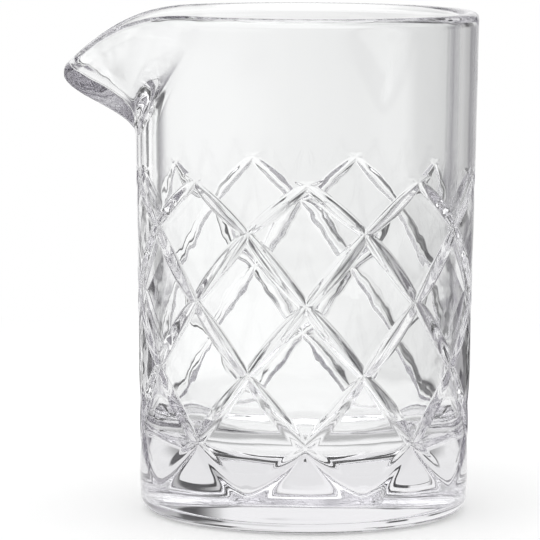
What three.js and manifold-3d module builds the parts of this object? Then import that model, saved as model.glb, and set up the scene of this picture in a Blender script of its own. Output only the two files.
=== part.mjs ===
// A clear glass milk jug: one piece of mould-blown glass with a heavy base, a lattice of crossing
// grooves round the lower wall, and a pouring lip pulled out of the rim. Millimetres, +Z up,
// the centre of the flat underside at the origin, the lip pointing to -X.
import * as THREE from 'three';
import { mergeVertices } from 'three/addons/utils/BufferGeometryUtils.js';
import Module from 'manifold-3d';

// Body
const jugHeight = 140;
const rimRadius = 48;
const footRadius = 46;
const heelRound = 4.5;
const wallThickness = 4.5;
const baseThickness = 15;
const floorRound = 20;
const rimOuterRound = 1.8;

// Pouring lip: its outer wall and its trough each follow a curve from a root in the wall to an end
// at the tip. The handles set how long a curve keeps the direction that it starts or ends with.
const lipReach = 19.6;
const lipRootBelowRim = 35;
const lipRootHandle = 6.5;
const lipTipBelowRim = 18.2;
const lipTipHandle = 5.6;
const troughReach = 20.1;
const troughRootBelowRim = 31;
const troughRootHandle = 8;
const troughEndBelowRim = 15.8;
const troughEndHandleOut = 12.1;
const troughEndHandleDown = 4.5;
const lipKeelRound = 5;
const lipDropPower = 1.4;

// Groove lattice: half-widths are level ones.
const latticeColumns = 9;
const lowestCrossing = 23.8;
const crossingPitch = 19.4;
const fullPitches = 3;
const topRunOut = 13.5;
const footRunOut = 15.3;
const grooveDepth = 1.9;
const grooveMiddleHalf = 2.7;
const grooveCrossingHalf = 1.15;
const grooveFootHalf = 4;
const grooveFootFadeRows = 1.4;
const grooveLeastDepth = 0.05;

// Fineness of the facets
const roundSegments = 68;
const lipCrowding = 0.45;
const arcSteps = 4;
const lipSteps = 7;
const grooveStepsPerRow = 3;
const cutterMargin = 1;

const wasm = await Module();
wasm.setup();

// Outer radius of the plain wall at a height: straight draft from the heel to the rim.
const rimInnerRound = wallThickness - rimOuterRound;
const outerShoulder = jugHeight - rimOuterRound;
const innerShoulder = jugHeight - rimInnerRound;
function wallRadius(height) {
  const share = (height - heelRound) / (outerShoulder - heelRound);
  return footRadius + (rimRadius - footRadius) * share;
}

// Points of an arc about a centre, from one angle to another, both ends included.
function arc(centreX, centreY, radius, fromAngle, toAngle) {
  const points = [];
  for (let step = 0; step <= arcSteps; step += 1) {
    const angle = fromAngle + (toAngle - fromAngle) * step / arcSteps;
    points.push(new THREE.Vector2(centreX + radius * Math.cos(angle), centreY + radius * Math.sin(angle)));
  }
  return points;
}

// Wall points between two heights, both left out, spaced evenly.
function wallPoints(fromHeight, toHeight, inset) {
  const points = [];
  for (let step = 1; step < lipSteps; step += 1) {
    const height = fromHeight + (toHeight - fromHeight) * step / lipSteps;
    points.push(new THREE.Vector2(wallRadius(height) - inset, height));
  }
  return points;
}

// Half section of the glass: underside, heel, outer wall, rim, inner wall and floor.
const lipRoot = jugHeight - lipRootBelowRim;
const troughRoot = jugHeight - troughRootBelowRim;
const rimCrest = rimRadius - rimOuterRound;
const floorEdge = wallRadius(baseThickness + floorRound) - wallThickness - floorRound;
const section = [
  new THREE.Vector2(0, 0),
  ...arc(footRadius - heelRound, heelRound, heelRound, -Math.PI / 2, 0),
  new THREE.Vector2(wallRadius(lipRoot), lipRoot),
  ...wallPoints(lipRoot, outerShoulder, 0),
  ...arc(rimCrest, outerShoulder, rimOuterRound, 0, Math.PI / 2),
  ...arc(rimCrest, innerShoulder, rimInnerRound, Math.PI / 2, Math.PI).slice(1),
  ...wallPoints(innerShoulder, troughRoot, wallThickness),
  new THREE.Vector2(wallRadius(troughRoot) - wallThickness, troughRoot),
  ...arc(floorEdge, baseThickness + floorRound, floorRound, 0, -Math.PI / 2),
  new THREE.Vector2(0, baseThickness),
];

// Share of its reach that the lip keeps at an angle from its middle: two straight sides, tangent to
// the rim circle, that meet in a rounded keel.
const keelAngle = lipKeelRound / (rimRadius + lipReach);
function lipShare(angle, reach) {
  if (reach <= 0) return 0;
  const halfAngle = Math.acos(rimRadius / (rimRadius + reach));
  const softened = Math.hypot(angle, keelAngle) - keelAngle;
  if (softened >= halfAngle) return 0;
  return (rimRadius / Math.cos(halfAngle - softened) - rimRadius) / reach;
}

// Reach and height of the lip's two curves at a share of the way from root to end.
const lipTip = jugHeight - lipTipBelowRim;
const outerCurve = new THREE.CubicBezierCurve(
  new THREE.Vector2(0, lipRoot),
  new THREE.Vector2(0, lipRoot + lipRootHandle),
  new THREE.Vector2(lipReach, lipTip - lipTipHandle),
  new THREE.Vector2(lipReach, lipTip),
);
const troughEnd = jugHeight - troughEndBelowRim;
const troughCurve = new THREE.CubicBezierCurve(
  new THREE.Vector2(0, troughRoot),
  new THREE.Vector2(0, troughRoot + troughRootHandle),
  new THREE.Vector2(troughReach - troughEndHandleOut, troughEnd - troughEndHandleDown),
  new THREE.Vector2(troughReach, troughEnd),
);

// Pulls a point of the plain jug out and down into the lip. The outer wall follows one curve, the
// inner wall the other, and the rim keeps its round between their ends.
function pullLip(point) {
  const radius = Math.hypot(point.x, point.y);
  if (radius === 0) return;
  const outside = radius > wallRadius(point.z) - rimOuterRound;
  const root = outside ? lipRoot : troughRoot;
  const shoulder = outside ? outerShoulder : innerShoulder;
  const rise = THREE.MathUtils.clamp((point.z - root) / (shoulder - root), 0, 1);
  const overRim = THREE.MathUtils.clamp((point.z - shoulder) / (jugHeight - shoulder), 0, 1) / 2;
  const inward = outside ? overRim : 1 - overRim;
  const outer = outerCurve.getPoint(rise);
  const inner = troughCurve.getPoint(rise);
  const outerDrop = lipRoot + rise * (outerShoulder - lipRoot) - outer.y;
  const innerDrop = troughRoot + rise * (innerShoulder - troughRoot) - inner.y;
  const reach = THREE.MathUtils.lerp(outer.x, inner.x, inward);
  const drop = THREE.MathUtils.lerp(outerDrop, innerDrop, inward);
  const share = lipShare(Math.atan2(point.y, -point.x), reach);
  const pulled = (radius + reach * share) / radius;
  point.x *= pulled;
  point.y *= pulled;
  point.z -= drop * share ** lipDropPower;
}

// Moves every vertex of a geometry by a function of its position.
function moveVertices(geometry, move) {
  const positions = geometry.getAttribute('position');
  const point = new THREE.Vector3();
  for (let index = 0; index < positions.count; index += 1) {
    point.fromBufferAttribute(positions, index);
    move(point);
    positions.setXYZ(index, point.x, point.y, point.z);
  }
}

// Crowds the facets of the turned body towards the lip, which lies at the angle pi.
function crowdTowardsLip(point) {
  const radius = Math.hypot(point.x, point.y);
  const angle = Math.atan2(point.y, point.x);
  const crowded = angle + lipCrowding * Math.sin(angle);
  point.x = radius * Math.cos(crowded);
  point.y = radius * Math.sin(crowded);
}

// Turns a closed geometry into a solid.
function solidOf(geometry) {
  geometry.deleteAttribute('normal');
  geometry.deleteAttribute('uv');
  const merged = mergeVertices(geometry);
  const vertProperties = new Float32Array(merged.getAttribute('position').array);
  const triVerts = new Uint32Array(merged.getIndex().array);
  return new wasm.Manifold(new wasm.Mesh({ numProp: 3, vertProperties, triVerts }));
}

// Turns a solid back into a geometry.
function geometryOf(solid) {
  const mesh = solid.getMesh();
  const geometry = new THREE.BufferGeometry();
  geometry.setAttribute('position', new THREE.BufferAttribute(mesh.vertProperties, mesh.numProp));
  geometry.setIndex(new THREE.BufferAttribute(mesh.triVerts, 1));
  geometry.computeVertexNormals();
  return geometry;
}

// The plain jug with its lip.
function makeBlank() {
  const turned = new THREE.LatheGeometry(section, roundSegments, 0, 2 * Math.PI);
  turned.rotateX(Math.PI / 2);
  moveVertices(turned, crowdTowardsLip);
  moveVertices(turned, pullLip);
  return solidOf(turned);
}

// Height of a groove after a number of rows, counted up from its lower end. The first and the
// last row are run-outs with heights of their own.
const rowsInAll = fullPitches + 2;
function rowHeight(row) {
  if (row < 1) return lowestCrossing - footRunOut * (1 - row);
  if (row > rowsInAll - 1) {
    return lowestCrossing + crossingPitch * fullPitches + topRunOut * (row - rowsInAll + 1);
  }
  return lowestCrossing + crossingPitch * (row - 1);
}

// Half-width of a groove: a spindle between crossings that widens below the lowest one.
function grooveHalf(row) {
  const share = row - Math.floor(row);
  const spindle = 4 * share * (1 - share) * (grooveMiddleHalf - grooveCrossingHalf);
  const widening = Math.max(0, 1 - row) * (grooveFootHalf - grooveCrossingHalf);
  return grooveCrossingHalf + spindle + widening;
}

// Depth of a groove: it follows the width and runs out towards the foot.
function grooveDepthAt(row) {
  const fade = Math.min(1, row / grooveFootFadeRows) ** 2;
  return Math.max(grooveLeastDepth, grooveDepth * fade * grooveHalf(row) / grooveMiddleHalf);
}

// One left-hand helical groove as a cutter: a straight bar wrapped round the wall, a V below the
// wall's surface and upright sides above it. Column 0 ends at the front, -Y.
const frontAngle = -Math.PI / 2;
const columnAngle = 2 * Math.PI / latticeColumns;
function grooveCutter(column) {
  const vee = new THREE.Shape([
    new THREE.Vector2(0, -1),
    new THREE.Vector2(1, 0),
    new THREE.Vector2(1, 1),
    new THREE.Vector2(-1, 1),
    new THREE.Vector2(-1, 0),
  ]);
  const bar = new THREE.ExtrudeGeometry(vee, {
    depth: rowsInAll,
    steps: rowsInAll * grooveStepsPerRow,
    bevelEnabled: false,
  });
  const startAngle = frontAngle + columnAngle * (column + rowsInAll / 2);
  moveVertices(bar, (point) => {
    const row = point.z;
    const height = rowHeight(row);
    const surface = wallRadius(height);
    const radius = surface + point.y * (point.y < 0 ? grooveDepthAt(row) : cutterMargin);
    const angle = startAngle - columnAngle * row / 2 - grooveHalf(row) * point.x / surface;
    point.set(radius * Math.cos(angle), radius * Math.sin(angle), height);
  });
  return solidOf(bar);
}

function makeJug() {
  let glass = makeBlank();
  for (let column = 0; column < latticeColumns; column += 1) {
    const leftHand = grooveCutter(column);
    const rightHand = leftHand.mirror([1, 0, 0]);
    glass = glass.subtract(leftHand).subtract(rightHand);
  }
  const material = new THREE.MeshStandardMaterial({
    color: 0xe9eded,
    roughness: 0.05,
    metalness: 0,
    transparent: true,
    opacity: 0.35,
  });
  const mesh = new THREE.Mesh(geometryOf(glass), material);
  mesh.name = 'glass_jug';
  return mesh;
}

const jug = new THREE.Group();
jug.add(makeJug());

export default jug;
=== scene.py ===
import math

import bpy
import numpy as np
from mathutils import Matrix


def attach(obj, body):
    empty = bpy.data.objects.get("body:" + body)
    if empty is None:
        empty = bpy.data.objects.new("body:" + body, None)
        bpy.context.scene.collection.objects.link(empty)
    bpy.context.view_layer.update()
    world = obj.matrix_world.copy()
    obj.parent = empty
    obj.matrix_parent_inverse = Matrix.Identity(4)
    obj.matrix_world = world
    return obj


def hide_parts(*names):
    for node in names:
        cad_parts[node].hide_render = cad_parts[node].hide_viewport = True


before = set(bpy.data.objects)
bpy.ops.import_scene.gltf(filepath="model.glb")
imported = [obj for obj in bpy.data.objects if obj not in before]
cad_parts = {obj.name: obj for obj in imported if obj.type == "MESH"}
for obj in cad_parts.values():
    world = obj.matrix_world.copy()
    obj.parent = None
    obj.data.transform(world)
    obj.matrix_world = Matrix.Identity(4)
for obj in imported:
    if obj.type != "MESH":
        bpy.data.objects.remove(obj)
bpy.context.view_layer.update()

scene = bpy.context.scene
scene.view_settings.view_transform = "Standard"
mm = 0.001

# Camera
# A long lens a little above the rim, looking down at the jug's middle. The photograph is square and
# leans by a third of a degree.
picture_width = 540
lens_pixels = 3950
sensor_width = 36
camera_distance = 1100 * mm
camera_height = 196 * mm
aim_height = 67.2 * mm
aim_aside = -9.8 * mm
lean = math.radians(0.33)
nearest_seen = 0.01
farthest_seen = 100

camera_data = bpy.data.cameras.new("photo_camera")
camera_data.sensor_width = sensor_width
camera_data.lens = sensor_width * lens_pixels / picture_width
camera_data.clip_start = nearest_seen
camera_data.clip_end = farthest_seen
camera = bpy.data.objects.new("photo_camera", camera_data)
scene.collection.objects.link(camera)
dip = math.atan2(camera_height - aim_height, camera_distance)
camera.location = (aim_aside, -camera_distance, camera_height)
turn = Matrix.Rotation(math.pi / 2 - dip, 3, "X") @ Matrix.Rotation(lean, 3, "Z")
camera.rotation_euler = turn.to_euler()
scene.camera = camera


# Glass jug
# One gather of clear glass blown in a mould, with a bowl-shaped floor, a shallow hollow under the heavy
# base and V-grooves that cross in a lattice of softly rounded pads. The rim is fire-polished, and the
# pouring lip was pulled out of the hot wall. Sizes are in millimetres, and widths of grooves in cells.
jug_height = 140.0
rim_radius = 48.0
foot_radius = 46.0
heel_round = 4.5
wall = 4.5
base_thickness = 15.0
floor_round = 20.0
floor_power = 2.2
hollow_depth = 2.0
hollow_radius = 38.0
hollow_power = 1.5
pole_radius = 2.0
rim_outer_round = 1.8
rim_inner_round = wall - rim_outer_round
outer_shoulder = jug_height - rim_outer_round
inner_shoulder = jug_height - rim_inner_round

lip_reach = 19.6
lip_root_below_rim = 35.0
lip_root_handle = 6.5
lip_tip_below_rim = 18.2
lip_tip_handle = 5.6
trough_reach = 20.1
trough_root_below_rim = 31.0
trough_root_handle = 8.0
trough_end_below_rim = 15.8
trough_end_handle_out = 12.1
trough_end_handle_down = 4.5
lip_keel_round = 5.0
lip_drop_power = 1.4
least_reach = 0.001
lip_root = jug_height - lip_root_below_rim
lip_tip = jug_height - lip_tip_below_rim
trough_root = jug_height - trough_root_below_rim
trough_end = jug_height - trough_end_below_rim

columns_round = 9
lowest_crossing = 23.8
crossing_pitch = 19.4
full_pitches = 3
top_run_out = 13.5
foot_run_out = 15.3
groove_depth = 1.9
groove_power = 1.6
groove_cells = 4
groove_middle_half = 4.0
groove_crossing_half = 1.7
groove_foot_half = 6.0
groove_foot_fade_rows = 1.4
groove_soft_rows = 0.5
groove_top_fade_rows = 0.4
groove_top_share = 0.25
pad_round = 0.12
low_pad_round = 0.9
pad_round_power = 3

cells_per_row = 24
margin_cells = 6
underside_steps = 10
heel_steps = 8
plain_wall_steps = 3
lip_steps = 24
rim_outside_steps = 5
rim_inside_steps = 7
trough_steps = 20
inner_wall_steps = 4
floor_steps = 21
row_count = full_pitches + 2
cells_round = 2 * columns_round * cells_per_row
lattice_cells = row_count * cells_per_row + margin_cells


def wall_radius(height):
    """Outer radius of the plain wall: a straight draft from the heel to the rim."""
    rise = height - heel_round
    return foot_radius + (rim_radius - foot_radius) * rise / (outer_shoulder - heel_round)


def row_height(row):
    """Height of a groove after a number of rows: straight runs, with end rows of their own heights."""
    margin = margin_cells / cells_per_row
    top_crossing = lowest_crossing + crossing_pitch * full_pitches
    top_end = top_crossing + top_run_out * (1 + margin)
    rows = [0, 1, row_count - 1, row_count + margin]
    heights = [lowest_crossing - foot_run_out, lowest_crossing, top_crossing, top_end]
    return np.interp(row, rows, heights)


def arc(centre_x, centre_y, radius, from_angle, to_angle, steps):
    """Points of an arc about a centre, both ends included."""
    angle = np.linspace(from_angle, to_angle, steps + 1)
    return np.stack([centre_x + radius * np.cos(angle), centre_y + radius * np.sin(angle)], axis=1)


def wall_rows(from_height, to_height, inset, steps):
    """Points of the straight wall between two heights, both left out."""
    height = np.linspace(from_height, to_height, steps + 1)[1:-1]
    return np.stack([wall_radius(height) - inset, height], axis=1)


def underside_rows():
    """Points of the underside from the pole out to the heel: a shallow dish whose depth is a power of
    one minus the squared share of its radius, with a flat ring round it that the jug stands on."""
    radius = np.linspace(pole_radius, foot_radius - heel_round, underside_steps + 1)[:-1]
    height = hollow_depth * np.clip(1 - (radius / hollow_radius) ** 2, 0, 1) ** hollow_power
    return np.stack([radius, height], axis=1)


def floor_rows():
    """Points of the inner floor from the wall in to the pole: a quarter of a superellipse."""
    angle = np.linspace(0, math.pi / 2, floor_steps + 1)[:-1]
    across = np.cos(angle) ** (2 / floor_power)
    down = np.sin(angle) ** (2 / floor_power)
    widest = wall_radius(base_thickness + floor_round) - wall
    return np.stack([widest * across, base_thickness + floor_round * (1 - down)], axis=1)


def bezier(share, start, start_handle, end_handle, end):
    """Point of a cubic Bezier curve in one coordinate."""
    rest = 1 - share
    return (start * rest ** 3 + 3 * start_handle * share * rest ** 2
            + 3 * end_handle * share ** 2 * rest + end * share ** 3)


def lip_share(angle, reach):
    """Share of its reach that the lip keeps at an angle from its middle: two flat flanks, tangent to
    the round body, that meet in a rounded keel."""
    reach = np.maximum(reach, least_reach)
    half_angle = np.arccos(rim_radius / (rim_radius + reach))
    keel_angle = lip_keel_round / (rim_radius + lip_reach)
    softened = np.minimum(np.hypot(angle, keel_angle) - keel_angle, half_angle)
    return np.clip(rim_radius / np.cos(half_angle - softened) - rim_radius, 0, reach) / reach


def pull_lip(radius, angle, height, outside):
    """Moves wall points out and down into the lip. In the lip's middle the outer wall follows one
    Bezier curve from root to tip and the inner wall another, and the rim keeps its round between."""
    shoulder = np.where(outside, outer_shoulder, inner_shoulder)
    root = np.where(outside, lip_root, trough_root)
    rise = np.clip((height - root) / (shoulder - root), 0, 1)
    outer_reach = bezier(rise, 0, 0, lip_reach, lip_reach)
    outer_height = bezier(rise, lip_root, lip_root + lip_root_handle, lip_tip - lip_tip_handle, lip_tip)
    inner_reach = bezier(rise, 0, 0, trough_reach - trough_end_handle_out, trough_reach)
    inner_height = bezier(rise, trough_root, trough_root + trough_root_handle,
                          trough_end - trough_end_handle_down, trough_end)
    outer_drop = lip_root + rise * (outer_shoulder - lip_root) - outer_height
    inner_drop = trough_root + rise * (inner_shoulder - trough_root) - inner_height
    over_rim = np.clip((height - shoulder) / (jug_height - shoulder), 0, 1) / 2
    inward = np.where(outside, over_rim, 1 - over_rim)
    reach = outer_reach + (inner_reach - outer_reach) * inward
    drop = outer_drop + (inner_drop - outer_drop) * inward
    share = lip_share(angle % (2 * math.pi) - math.pi, reach)
    return radius + reach * share, height - drop * share ** lip_drop_power


def groove_distances(rows, cells):
    """Signed distances in cells from a grid point to the nearest right-hand and left-hand groove."""
    period = 2 * cells_per_row
    top_row = row_count * cells_per_row
    right_hand = (cells - rows + top_row + cells_per_row) % period - cells_per_row
    left_hand = (cells + rows - top_row + cells_per_row) % period - cells_per_row
    return right_hand, left_hand


def groove_half(along):
    """Half-width of a groove in cells, at a distance along it from a crossing: a spindle that is
    narrow at the crossings and wide halfway."""
    share = np.abs(along) / (2 * cells_per_row)
    return groove_crossing_half + (groove_middle_half - groove_crossing_half) * 4 * share * (1 - share)


def gather(distance, half):
    """Draws grid lines together so that the groove's cells fill its half-width and no more."""
    size = np.abs(distance)
    outer = half + (size - groove_cells) * (cells_per_row - half) / (cells_per_row - groove_cells)
    return np.sign(distance) * np.where(size < groove_cells, size * half / groove_cells, outer)


def groove_section(distance, foot):
    """Share of a groove's depth at a distance in cells from its middle: a rounded V with sharp edges
    that turns into a soft hollow towards the foot."""
    share = np.minimum(np.abs(distance) / groove_cells, 1)
    vee = 1 - share ** groove_power
    soft = (1 - share ** 2) ** 2
    return vee + (soft - vee) * np.minimum(foot / groove_soft_rows, 1)


def pad_crown(distance):
    """Height share of a pad at a distance in cells from a groove's middle: 0 at the groove's edge,
    rising in a curve to 1 in the middle of the pad."""
    share = np.clip((np.abs(distance) - groove_cells) / (cells_per_row - groove_cells), 0, 1)
    return 1 - (1 - share) ** pad_round_power


def lattice(rows, cells):
    """Moved rows and cells of a grid point, and the depth of the lattice there. The depth is that of
    the deeper of two crossing grooves, which follows their width, plus the fall of the rounded pads,
    which grows below the second crossing. Both run out at the foot and at the top."""
    right_hand, left_hand = groove_distances(rows, cells)
    foot = np.clip(1 - rows / cells_per_row, 0, 1)
    widening = foot * (groove_foot_half - groove_crossing_half)
    right_half = groove_half(left_hand) + widening
    left_half = groove_half(right_hand) + widening
    margin = np.clip(np.minimum(rows, lattice_cells - rows) / margin_cells, 0, 1)
    right_shift = margin * (gather(right_hand, right_half) - right_hand)
    left_shift = margin * (gather(left_hand, left_half) - left_hand)
    moved_rows = rows + (left_shift - right_shift) / 2
    moved_cells = cells + (left_shift + right_shift) / 2
    row = moved_rows / cells_per_row
    right_cut = right_half * groove_section(right_hand, foot)
    left_cut = left_half * groove_section(left_hand, foot)
    cut = groove_depth * np.maximum(right_cut, left_cut) / groove_middle_half
    low_pads = (1 - np.clip(row - 1, 0, 1)) ** 2
    crown = pad_crown(right_hand) * pad_crown(left_hand)
    sunk = (pad_round + (low_pad_round - pad_round) * low_pads) * (1 - crown)
    foot_fade = np.clip(row / groove_foot_fade_rows, 0, 1) ** 2
    top_fade = np.clip(groove_top_share + (row_count - row) / groove_top_fade_rows, 0, 1)
    return moved_rows, moved_cells, (cut + sunk) * foot_fade * top_fade


def ring_mesh(name, grid, slanted):
    """Closed surface over a grid of rows by cells round, with a pole before the first row and after
    the last. Each grid square is split along the diagonal that slanted picks."""
    rows, cells = grid.shape[:2]
    index = np.arange(rows * cells).reshape(rows, cells)
    here, right = index[:-1], np.roll(index, -1, axis=1)[:-1]
    above, above_right = index[1:], np.roll(index, -1, axis=1)[1:]
    rising = np.stack([here, right, above_right, here, above_right, above], axis=-1)
    falling = np.stack([here, right, above, right, above_right, above], axis=-1)
    squares = np.where(slanted[..., None], rising, falling).reshape(-1, 3)
    first_pole, last_pole = rows * cells, rows * cells + 1
    first, last = index[0], index[-1]
    first_fan = np.stack([np.roll(first, -1), first, np.full(cells, first_pole)], axis=1)
    last_fan = np.stack([last, np.roll(last, -1), np.full(cells, last_pole)], axis=1)
    triangles = np.concatenate([squares, first_fan, last_fan]).astype(np.int32)
    poles = np.stack([grid[0].mean(axis=0), grid[-1].mean(axis=0)])
    points = np.concatenate([grid.reshape(-1, 3), poles])
    mesh = bpy.data.meshes.new(name)
    mesh.vertices.add(len(points))
    mesh.vertices.foreach_set("co", points.astype(np.float32).ravel())
    mesh.loops.add(triangles.size)
    mesh.loops.foreach_set("vertex_index", triangles.ravel())
    mesh.polygons.add(len(triangles))
    mesh.polygons.foreach_set("loop_start", np.arange(0, triangles.size, 3, dtype=np.int32))
    mesh.update(calc_edges=True)
    mesh.polygons.foreach_set("use_smooth", np.ones(len(triangles), dtype=bool))
    mesh.validate()
    piece = bpy.data.objects.new(name, mesh)
    scene.collection.objects.link(piece)
    return piece


# Half section of the glass: underside, heel, outer wall, rim, inner wall and floor.
underside = underside_rows()
heel = arc(foot_radius - heel_round, heel_round, heel_round, -math.pi / 2, 0, heel_steps)
lattice_height = row_height(np.arange(lattice_cells + 1) / cells_per_row)
lattice_rows = np.stack([wall_radius(lattice_height), lattice_height], axis=1)
outer_wall = np.concatenate([
    wall_rows(lattice_height[-1], lip_root, 0, plain_wall_steps),
    [[wall_radius(lip_root), lip_root]],
    wall_rows(lip_root, outer_shoulder, 0, lip_steps),
])
crest_radius = rim_radius - rim_outer_round
rim_outside = arc(crest_radius, outer_shoulder, rim_outer_round, 0, math.pi / 2, rim_outside_steps)
rim_inside = arc(crest_radius, inner_shoulder, rim_inner_round, math.pi / 2, math.pi, rim_inside_steps)
inner_wall = np.concatenate([
    wall_rows(inner_shoulder, trough_root, wall, trough_steps),
    [[wall_radius(trough_root) - wall, trough_root]],
    wall_rows(trough_root, base_thickness + floor_round, wall, inner_wall_steps),
])
outside = np.concatenate([underside, heel, lattice_rows, outer_wall, rim_outside])
profile = np.concatenate([outside, rim_inside[1:], inner_wall, floor_rows()])

# The section is carried round the axis, cut by the lattice and pulled into the lip.
front_angle = -math.pi / 2
half_cell = 0.5
profile_number = np.arange(len(profile))[:, None]
row_number = profile_number - len(underside) - len(heel)
cell_number = np.arange(cells_round)[None, :]
in_lattice = (row_number >= 0) & (row_number <= lattice_cells)
moved_rows, moved_cells, cut = lattice(np.clip(row_number, 0, lattice_cells), cell_number)
plain_height = profile[:, 1:] + 0 * cell_number
height = np.where(in_lattice, row_height(moved_rows / cells_per_row), plain_height)
radius = np.where(in_lattice, wall_radius(height) - cut, profile[:, :1])
angle = front_angle + 2 * math.pi * np.where(in_lattice, moved_cells, cell_number) / cells_round
radius, height = pull_lip(radius, angle, height, profile_number < len(outside))
grid = np.stack([radius * np.cos(angle), radius * np.sin(angle), height], axis=-1) * mm
to_right_hand, to_left_hand = groove_distances(row_number[:-1] + half_cell, cell_number + half_cell)
jug = ring_mesh("glass_jug_body", grid, np.abs(to_right_hand) <= np.abs(to_left_hand))


class Nodes:
    """Makes the nodes of one material or world, and sets their settings and inputs."""

    def __init__(self, tree):
        self.tree = tree

    def add(self, kind, settings=None, **inputs):
        """Adds a node. An input is named by its socket, or by i and the socket's number."""
        node = self.tree.nodes.new(kind)
        for key, value in (settings or {}).items():
            setattr(node, key, value)
        for key, value in inputs.items():
            numbered = key[0] == "i" and key[1:].isdigit()
            socket = node.inputs[int(key[1:]) if numbered else key.replace("_", " ")]
            if isinstance(value, Value):
                self.tree.links.new(value.socket, socket)
            else:
                socket.default_value = value
        return node

    def value(self, node, output=0):
        """An output of a node, ready for sums."""
        return Value(self, node.outputs[output])


class Value:
    """A socket that takes part in sums, products and comparisons."""

    def __init__(self, nodes, socket):
        self.nodes = nodes
        self.socket = socket

    def math(self, operation, *others):
        """A maths node on this value and others."""
        inputs = {"i0": self}
        for place, other in enumerate(others):
            inputs["i%d" % (place + 1)] = other
        return self.nodes.value(self.nodes.add("ShaderNodeMath", {"operation": operation}, **inputs))

    def __add__(self, other):
        return self.math("ADD", other)

    def __sub__(self, other):
        return self.math("SUBTRACT", other)

    def __mul__(self, other):
        return self.math("MULTIPLY", other)

    def __rsub__(self, other):
        return (self * -1.0).math("ADD", other)

    __radd__ = __add__
    __rmul__ = __mul__


def smooth_between(value, low, high):
    """Runs from 0 at low to 1 at high along a smooth step."""
    node = value.nodes.add("ShaderNodeMapRange", {"interpolation_type": "SMOOTHSTEP"},
                           Value=value, From_Min=low, From_Max=high)
    return value.nodes.value(node)


# The glass is a little uneven: broad swells all over, strongest on the inner floor and faint at the heel
# and the lip, and finer waves on the inner wall and the lip's keel. Each pair is where a change starts
# and where it is complete.
glass_tint = (0.985, 0.99, 0.988, 1)
glass_index = 1.5
depth_tint = (0.45, 0.425, 0.49, 1)
depth_density = 4.0
swell_scale = 60.0
wave_scale = 250.0
wave_detail = 0.5
bump_distance = 0.1 * mm
calm_heights = (4 * mm, 10 * mm)
calm_loss = 0.8
inside_heights = (10 * mm, 12 * mm)
inside_radii = (43.2 * mm, 44 * mm)
inside_waves = 0.55
floor_heights = (18 * mm, 30 * mm)
floor_radii = (36 * mm, 40 * mm)
floor_gain = 9.0
lip_heights = (90 * mm, 105 * mm)
lip_loss = 0.6
keel_reaches = (47 * mm, 52 * mm)
keel_half_widths = (6 * mm, 12 * mm)
keel_waves = 1.6

glass = bpy.data.materials.new("clear_glass")
glass.use_nodes = True
glass.node_tree.nodes.clear()
make = Nodes(glass.node_tree)
place = make.value(make.add("ShaderNodeTexCoord"), "Object")
swells = make.add("ShaderNodeTexNoise", Vector=place, Scale=swell_scale, Detail=0.0)
waves = make.add("ShaderNodeTexNoise", Vector=place, Scale=wave_scale, Detail=wave_detail)
split = make.add("ShaderNodeSeparateXYZ", Vector=place)
along_lip = make.value(split, "X")
across_lip = make.value(split, "Y")
up = make.value(split, "Z")
from_axis = (along_lip.math("POWER", 2.0) + across_lip.math("POWER", 2.0)).math("SQRT")
keel = smooth_between(along_lip * -1.0, *keel_reaches)
keel = keel * (1.0 - smooth_between(across_lip.math("ABSOLUTE"), *keel_half_widths))
calm = 1.0 - smooth_between(up, *calm_heights)
inside = (1.0 - smooth_between(from_axis, *inside_radii)) * smooth_between(up, *inside_heights)
bottom = smooth_between(up, *inside_heights) * (1.0 - smooth_between(up, *floor_heights))
bottom = bottom * (1.0 - smooth_between(from_axis, *floor_radii))
high = smooth_between(up, *lip_heights)
swell_share = 1.0 - calm * calm_loss - high * lip_loss + bottom * floor_gain
wave_share = inside_waves * inside * (1.0 - high) + keel_waves * keel
unevenness = make.value(swells, "Fac") * swell_share + make.value(waves, "Fac") * wave_share
bump = make.add("ShaderNodeBump", Strength=1.0, Distance=bump_distance, Height=unevenness)
shader = make.add("ShaderNodeBsdfPrincipled", Base_Color=glass_tint, Roughness=0.0, IOR=glass_index,
                  Transmission_Weight=1.0, Normal=make.value(bump))
depth = make.add("ShaderNodeVolumeAbsorption", Color=depth_tint, Density=depth_density)
make.add("ShaderNodeOutputMaterial", Surface=make.value(shader), Volume=make.value(depth))
jug.data.materials.append(glass)
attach(jug, "root")
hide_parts("glass_jug")

# Floor
# A plain white studio table, round and seamless with the white behind it, which keeps the jug's shadow.
# Through the glass it is white with a faint painted shade beyond the foot and two soft dark rings of
# painted shadow under the base, and farther behind the jug it shows a painted reflection of the panels'
# light.
table_radius = 450 * mm
table_sides = 96
table_gap = 0.2 * mm
table_grey = (0.85, 0.85, 0.85, 1)
table_glow = 0.2
table_fade = (180 * mm, 420 * mm)
# Where the painted reflection of the panels' light shows on the table, seen through the glass.
mirror_radii = (110 * mm, 160 * mm)
mirror_share = 0.4
mirror_edge = (0.0, 20 * mm)
# Painted shade on the table as seen through the glass: faint beyond the foot, and two dark rings of
# painted shadow under the base.
open_table = (46 * mm, 56 * mm)
open_table_painted_shade = 0.03
heel_ring_start = (36 * mm, 41 * mm)
heel_ring_end = (43 * mm, 46 * mm)
heel_ring_painted_shadow = 0.5
inner_ring_start = (27 * mm, 32 * mm)
inner_ring_end = (32 * mm, 33 * mm)
inner_ring_painted_shadow = 0.6
room_tint = (1.0, 0.96, 1.06)
room_brightness = 0.5
plain_white = (1, 1, 1, 1)
straight_behind = 0.5

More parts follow.
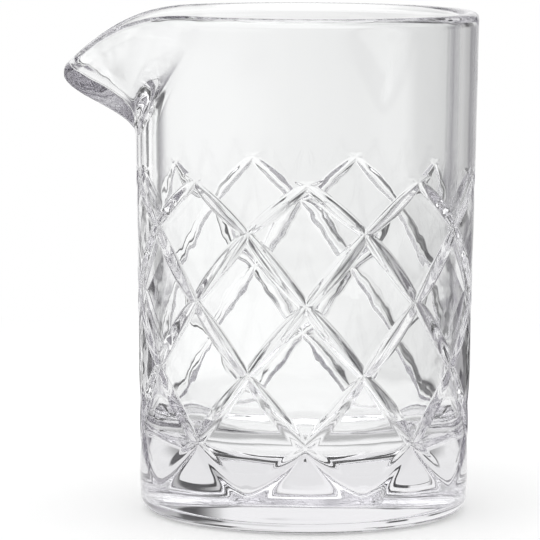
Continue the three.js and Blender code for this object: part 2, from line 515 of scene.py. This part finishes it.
# Bearings in degrees, from straight behind the jug to the right, with the brightness there. Row by row:
# the dim room on the left, a narrow panel between two dark gaps, the wide panel behind the jug, a dark
# gap and a grey wall, and the dim room on the right. It is paler straight behind the camera.
panels_round = [
    (-180, 0.75), (-158, 0.70), (-145, 0.22), (-110, 0.18), (-78, 0.15), (-62, 0.22), (-45, 0.30),
    (-43, 0.03), (-38, 0.03), (-36, 1.0), (-28, 1.0), (-27, 0.03), (-21, 0.03),
    (-20, 1.04), (-8, 1.08), (3.5, 1.0), (5, 0.86), (19, 0.76),
    (21, 0.03), (36, 0.05), (39, 0.50), (52, 0.40),
    (60, 0.18), (76, 0.15), (145, 0.20), (158, 0.70), (180, 0.75),
]


def light_round(marks, across, along):
    """Light at a bearing, in straight runs between marks of a bearing in degrees and its brightness, on
    a colour ramp that is one turn long. Dim marks have the room's tint."""
    nodes = across.nodes
    turn_share = across.math("ARCTAN2", along) * (1 / (2 * math.pi)) + straight_behind
    ramp = nodes.add("ShaderNodeValToRGB", Fac=turn_share)
    stops = ramp.color_ramp.elements
    while len(stops) < len(marks):
        stops.new(straight_behind)
    for stop, (degrees, brightness) in zip(stops, marks):
        stop.position = degrees / 360 + straight_behind
        tint = room_tint if brightness < room_brightness else plain_white[:3]
        stop.color = (*(brightness * channel for channel in tint), 1)
    return nodes.value(ramp)


def band(value, start, end):
    """1 in a band and 0 elsewhere, with a smooth step where it starts and another where it ends."""
    return smooth_between(value, *start) * (1.0 - smooth_between(value, *end))


def shine(nodes, kind, colour):
    """A shader that gives off a colour at strength 1."""
    return nodes.value(nodes.add(kind, Color=colour, Strength=1.0))


def blend(share, first, second):
    """A shader that runs from the first to the second as the share runs from 0 to 1."""
    return share.nodes.value(share.nodes.add("ShaderNodeMixShader", i0=share, i1=first, i2=second))


table_angle = np.linspace(0, 2 * math.pi, table_sides, endpoint=False)
table_edge = np.stack([table_radius * np.cos(table_angle), table_radius * np.sin(table_angle),
                       np.full(table_sides, -table_gap)], axis=1)
floor_mesh = bpy.data.meshes.new("studio_floor")
floor_mesh.from_pydata(table_edge.tolist(), [], [list(range(table_sides))])
floor = bpy.data.objects.new("studio_floor", floor_mesh)
scene.collection.objects.link(floor)

floor_white = bpy.data.materials.new("floor_white")
floor_white.use_nodes = True
floor_white.node_tree.nodes.clear()
make = Nodes(floor_white.node_tree)
path = make.add("ShaderNodeLightPath")
through_glass = make.value(path, "Is Glossy Ray") + make.value(path, "Is Transmission Ray")
through_glass = through_glass.math("MINIMUM", 1.0)
place = make.value(make.add("ShaderNodeTexCoord"), "Object")
from_middle = make.value(make.add("ShaderNodeVectorMath", {"operation": "LENGTH"}, i0=place), "Value")
split = make.add("ShaderNodeSeparateXYZ", Vector=place)
right = make.value(split, "X")
behind = make.value(split, "Y")
diffuse = make.value(make.add("ShaderNodeBsdfDiffuse", Color=table_grey))
glow = shine(make, "ShaderNodeEmission", make.value(path, "Is Camera Ray") * table_glow)
shadowed = make.value(make.add("ShaderNodeAddShader", i0=diffuse, i1=glow))
plain = shine(make, "ShaderNodeEmission", plain_white)
seen_plain = blend(smooth_between(from_middle, *table_fade), shadowed, plain)
# Painted shade seen through the glass: a faint grey beyond the foot and two rings of painted shadow
# under the base.
shade = smooth_between(from_middle, *open_table) * open_table_painted_shade
shade = shade + band(from_middle, heel_ring_start, heel_ring_end) * heel_ring_painted_shadow
shade = shade + band(from_middle, inner_ring_start, inner_ring_end) * inner_ring_painted_shadow
table = shine(make, "ShaderNodeEmission", 1.0 - shade)
# A painted reflection of the panels' light on the table farther behind the jug, seen only through the
# glass.
painted_reflection = shine(make, "ShaderNodeEmission", light_round(panels_round, right, behind))
mirror = smooth_between(from_middle, *mirror_radii)
mirror = mirror * smooth_between(behind - from_middle * mirror_share, *mirror_edge)
seen_through = blend(mirror, table, painted_reflection)
make.add("ShaderNodeOutputMaterial", Surface=blend(through_glass, seen_plain, seen_through))
floor_mesh.materials.append(floor_white)

# Studio light
# Soft white panels stand behind the jug with dark gaps between them, a bright one hangs above them, and
# the backdrop's grey steps show in a strip just below the horizon. Only the glass shows all these: the
# camera and the floor see plain white, and a soft lamp gives the jug its shadow.
ceiling_white = (1.7, 1.7, 1.7, 1)
bright_white = (1.08, 1.08, 1.08, 1)
gap_grey = (0.05, 0.05, 0.05, 1)
panel_tops = (0.42, 0.47)
ceiling_edges = (0.78, 0.85)
back_edges = (-0.05, 0.05)
strip_bottom = (-0.14, -0.10)
strip_top = (-0.05, -0.02)
strip_sides = (0.30, 0.45)
bright_bottom = (0.08, 0.12)
bright_top = (0.28, 0.34)
bright_side = (0.27, 0.50)
first_matt_bounce = 0.5
lamp_spread = math.radians(50)
lamp_energy = 0.25
lamp_turn = (math.radians(30), math.radians(-25), 0)
light_bounces = 160

# Bearings and brightness, as for the panels. Row by row: pale in front and on the left, a panel between
# two dark gaps, the white and then grey backdrop, its darker step and a gap, and the wall on the right.
backdrop_round = [
    (-180, 0.88), (-78, 0.88), (-62, 1.0), (-38, 1.05),
    (-37, 0.05), (-32.5, 0.05), (-31.5, 1.05), (-23, 1.05), (-21, 0.12), (-18.5, 0.08), (-16.5, 0.35),
    (-13, 0.95), (-11, 1.03), (-5, 1.0), (-2.2, 1.0), (0, 0.915), (3.3, 0.865), (5.4, 0.935),
    (6.2, 0.745), (11, 0.63), (14, 0.56), (17, 0.25), (26, 0.20),
    (30, 0.5), (40, 0.62), (60, 0.70), (80, 0.88), (180, 0.88),
]

world = bpy.data.worlds.new("studio")
scene.world = world
world.use_nodes = True
world.node_tree.nodes.clear()
make = Nodes(world.node_tree)
path = make.add("ShaderNodeLightPath")
not_by_floor = make.value(path, "Diffuse Depth").math("LESS_THAN", first_matt_bounce)
shown = make.value(path, "Is Glossy Ray") + make.value(path, "Is Transmission Ray")
shown = shown.math("MINIMUM", 1.0) * not_by_floor
direction = make.value(make.add("ShaderNodeTexCoord"), "Generated")
split = make.add("ShaderNodeSeparateXYZ", Vector=direction)
right = make.value(split, "X")
behind = make.value(split, "Y")
up = make.value(split, "Z")
at_back = smooth_between(behind, *back_edges)
at_side = 1.0 - smooth_between(behind, *strip_sides)
below_ceiling = 1.0 - smooth_between(up, *ceiling_edges)
above_bottom = smooth_between(up, *strip_bottom).math("MAXIMUM", at_side)
strip = above_bottom * (1.0 - smooth_between(up, *strip_top))
bright = band(up, bright_bottom, bright_top) * at_back * (1.0 - smooth_between(right, *bright_side))
panels = shine(make, "ShaderNodeBackground", light_round(panels_round, right, behind))
backdrop = shine(make, "ShaderNodeBackground", light_round(backdrop_round, right, behind))
bright_panel = shine(make, "ShaderNodeBackground", bright_white)
ceiling = shine(make, "ShaderNodeBackground", ceiling_white)
gap = shine(make, "ShaderNodeBackground", gap_grey)
white = shine(make, "ShaderNodeBackground", plain_white)
walls = blend(bright, blend(strip, panels, backdrop), bright_panel)
overhead = blend(below_ceiling * at_back, ceiling, gap)
room = blend(smooth_between(up, *panel_tops), walls, overhead)
make.add("ShaderNodeOutputWorld", Surface=blend(shown, white, room))

lamp_data = bpy.data.lights.new("soft_lamp", "SUN")
lamp_data.angle = lamp_spread
lamp_data.energy = lamp_energy
lamp = bpy.data.objects.new("soft_lamp", lamp_data)
scene.collection.objects.link(lamp)
lamp.rotation_euler = lamp_turn
lamp.visible_glossy = False
lamp.visible_transmission = False

scene.cycles.max_bounces = light_bounces
scene.cycles.transmission_bounces = light_bounces
scene.cycles.glossy_bounces = light_bounces
